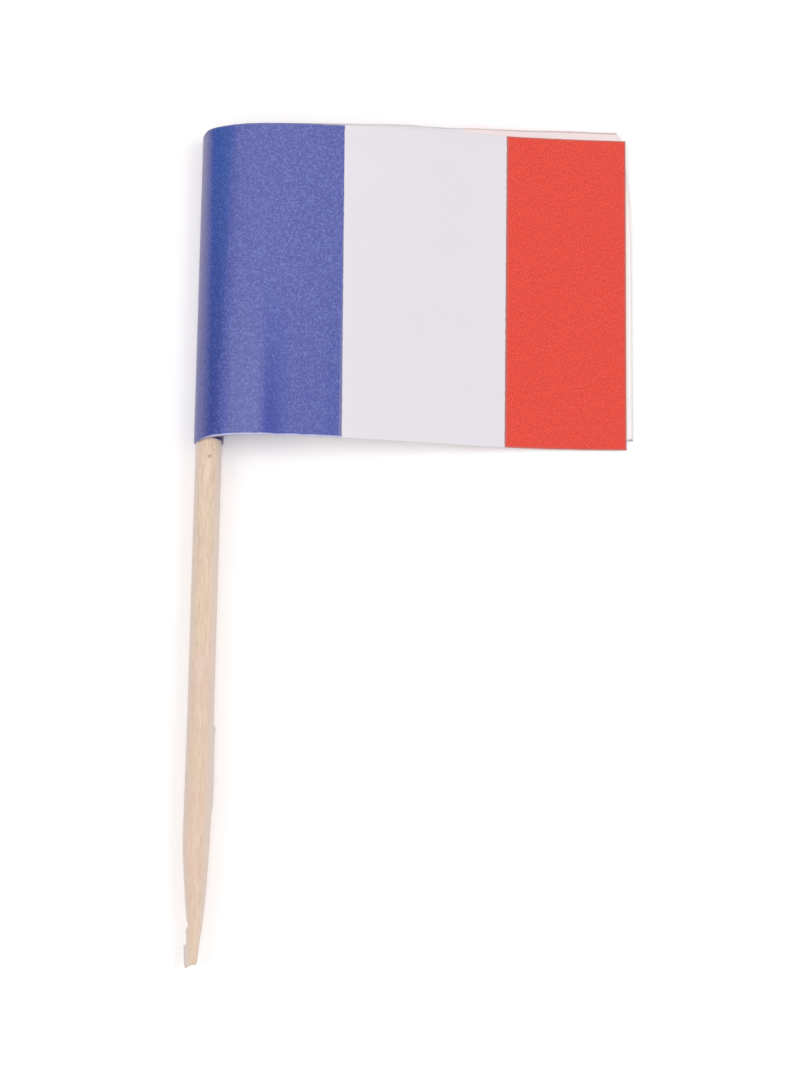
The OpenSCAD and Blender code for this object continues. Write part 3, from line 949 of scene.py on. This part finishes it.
def wood_wear_and_side_sheen(m, colour, place, short):
    """Browner towards the point, bruised below the flag, greyer where it is torn, and greyed at its sides
    as painted sheen and shade.
    """
    y = m.add("ShaderNodeSeparateXYZ", {0: place}).outputs[1]
    browner = m.step(y, PICK_LOW[1] + BROWN_FROM, PICK_LOW[1] + BROWN_FULL, 0.0, BROWN_SHARE)
    colour = m.mix(browner, colour, WOOD_TAN)
    below_flag = m.step(y, FLAG_BOTTOM - BRUISE_L, FLAG_BOTTOM)
    bruised = m.both(below_flag, m.step(m.noise(short, BRUISE_SCALE), *BRUISE_STEP))
    colour = m.mix(m.both(bruised, BRUISE_SHARE), colour, shade(WOOD_TAN, BRUISE_TONE))
    # Painted sheen and shade on both sides of the pick, greyer as they turn away
    colour = m.mix(m.step(m.mark("side"), *SIDE_STEP), colour, WOOD_SIDE_SHEEN_SHADE)
    # Torn wood is greyer; at the point's left the grey is partly painted shadow
    return m.mix(m.mark("torn"), colour, WOOD_GREY)


def dark_pore(m, colour, place):
    """A small upright oval on the top of the shank."""
    pore = (AXIS_X + PORE_OFFSET, PICK_LOW[1] - POINT_REACH + PORE_AT, AXIS_Z + PICK_R)
    away = m.add("ShaderNodeVectorMath", {0: place, 1: pore}, operation="SUBTRACT").outputs[0]
    per_size = tuple(1 / part for part in PORE_SIZE)
    shares = m.add("ShaderNodeVectorMath", {0: away, 1: per_size}, operation="MULTIPLY").outputs[0]
    reach = m.add("ShaderNodeVectorMath", {0: shares}, operation="LENGTH").outputs["Value"]
    return m.mix(m.step(reach, *PORE_STEP), colour, WOOD_PORE)


def birch():
    """Pale bare birch, its grain drawn out along the pick."""
    m = Nodes("birch")
    place = m.add("ShaderNodeTexCoord", {}).outputs["Object"]
    long = m.add("ShaderNodeMapping", {"Vector": place, "Scale": STREAK_STRETCH}).outputs[0]
    short = m.add("ShaderNodeMapping", {"Vector": place, "Scale": MOTTLE_STRETCH}).outputs[0]
    streak = m.noise(long, *STREAK_NOISE)
    colour = wood_grain(m, place, long, short, streak)
    colour = wood_wear_and_side_sheen(m, colour, place, short)
    m.set("Base Color", dark_pore(m, colour, place))
    m.bump(streak, WOOD_RELIEF)
    m.shader.inputs["Roughness"].default_value = WOOD_ROUGH
    m.shader.inputs["Specular IOR Level"].default_value = WOOD_SHEEN
    return m.material


def photo_camera():
    """Camera at the photograph's angle, turned a little about its own line of sight."""
    elevation, azimuth, roll = (math.radians(x) for x in (VIEW_ELEVATION, VIEW_AZIMUTH, VIEW_ROLL))
    away = Vector((
        math.sin(azimuth) * math.cos(elevation),
        -math.cos(azimuth) * math.cos(elevation),
        math.sin(elevation),
    ))
    right = (-away).cross(Vector((0, 0, 1))).normalized()
    up = right.cross(-away)
    turned_right = math.cos(roll) * right + math.sin(roll) * up
    turned_up = math.cos(roll) * up - math.sin(roll) * right
    data = bpy.data.cameras.new("camera")
    data.sensor_fit = "VERTICAL"
    data.sensor_height = SENSOR_HEIGHT
    data.lens = SENSOR_HEIGHT * VIEW_FOCAL_PX / PHOTO_SIZE[1]
    data.clip_start, data.clip_end = CLIP
    camera = bpy.data.objects.new("camera", data)
    turn = Matrix((turned_right, turned_up, away)).transposed().to_4x4()
    camera.matrix_world = Matrix.Translation(Vector(VIEW_TARGET) + VIEW_DISTANCE * away) @ turn
    bpy.context.scene.collection.objects.link(camera)
    bpy.context.scene.camera = camera


def soft_box(name, place, sides, level, matt=True, gloss=True):
    """Rectangular lamp that faces the object, its first side along X. Power is level x pi x area.

    matt and gloss say which kinds of surface it lights, as a flag or a filter on a stand would.
    """
    data = bpy.data.lights.new(name, "AREA")
    data.shape = "RECTANGLE"
    data.size, data.size_y = sides
    data.energy = level * math.pi * sides[0] * sides[1]
    lamp = bpy.data.objects.new(name, data)
    away = Vector(place).normalized()
    side = Vector((0, 1, 0)).cross(away).normalized()
    turn = Matrix((side, away.cross(side), away)).transposed().to_4x4()
    lamp.matrix_world = Matrix.Translation(Vector(place)) @ turn
    lamp.visible_diffuse = matt
    lamp.visible_glossy = gloss
    bpy.context.scene.collection.objects.link(lamp)


def seen_directly(tree):
    """Socket that is 1 for rays from the camera, from a gloss or through a clear body, else 0."""
    path = tree.nodes.new("ShaderNodeLightPath")
    total = path.outputs["Is Camera Ray"]
    for ray in ("Is Glossy Ray", "Is Transmission Ray"):
        larger = tree.nodes.new("ShaderNodeMath")
        larger.operation = "MAXIMUM"
        tree.links.new(total, larger.inputs[0])
        tree.links.new(path.outputs[ray], larger.inputs[1])
        total = larger.outputs[0]
    return total


def white_table():
    """White table: a matt white that also glows a little to the camera, as a light table does."""
    half = TABLE_SIZE / 2
    corners = half * np.array([[-1, -1, 0], [1, -1, 0], [1, 1, 0], [-1, 1, 0]])
    corners[:, 2] = -TABLE_DROP
    table = make_mesh("table", corners, np.array([[0, 1, 2, 3]]))
    m = Nodes("white_table")
    seen = seen_directly(m.tree)
    m.set("Base Color", m.mix(seen, TABLE_ALBEDO, TABLE_SEEN))
    m.shader.inputs["Roughness"].default_value = TABLE_ROUGH
    m.shader.inputs["Specular IOR Level"].default_value = 0.0
    m.shader.inputs["Emission Color"].default_value = rgba(TABLE_TINGE)
    m.set("Emission Strength", m.both(seen, TABLE_GLOW))
    table.data.materials.append(m.material)


def studio_light():
    """A panel whose sheen shows in the ink, soft boxes right, left and in front, and a sky."""
    soft_box("sheen", SHEEN_PLACE, SHEEN_SIDES, SHEEN_LEVEL, matt=False)
    soft_box("right", RIGHT_PLACE, BOX_SIDES, RIGHT_LEVEL, gloss=False)
    soft_box("left", LEFT_PLACE, BOX_SIDES, LEFT_LEVEL, gloss=False)
    soft_box("front", FRONT_PLACE, BOX_SIDES, FRONT_LEVEL, gloss=False)
    world = bpy.data.worlds.new("sky")
    bpy.context.scene.world = world
    world.use_nodes = True
    tree = world.node_tree
    level = tree.nodes.new("ShaderNodeMapRange")
    tree.links.new(seen_directly(tree), level.inputs[0])
    level.inputs[3].default_value = SKY_LEVEL
    level.inputs[4].default_value = 1.0
    back = tree.nodes["Background"]
    back.inputs[0].default_value = rgba(1.0)
    tree.links.new(level.outputs[0], back.inputs[1])


photo_camera()
white_table()
studio_light()

sheet, back_blue_run, back_red_run, back_ends = flag_sheet()
for skin in (printed_face(back_blue_run, back_red_run), bare_face(back_red_run, back_ends), cut_edge()):
    sheet.data.materials.append(skin)
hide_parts("flag_paper")
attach(sheet, "root")

pick = wooden_pick()
pick.data.materials.append(birch())
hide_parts("toothpick")
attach(pick, "root")

bpy.context.scene.view_settings.view_transform = "Standard"
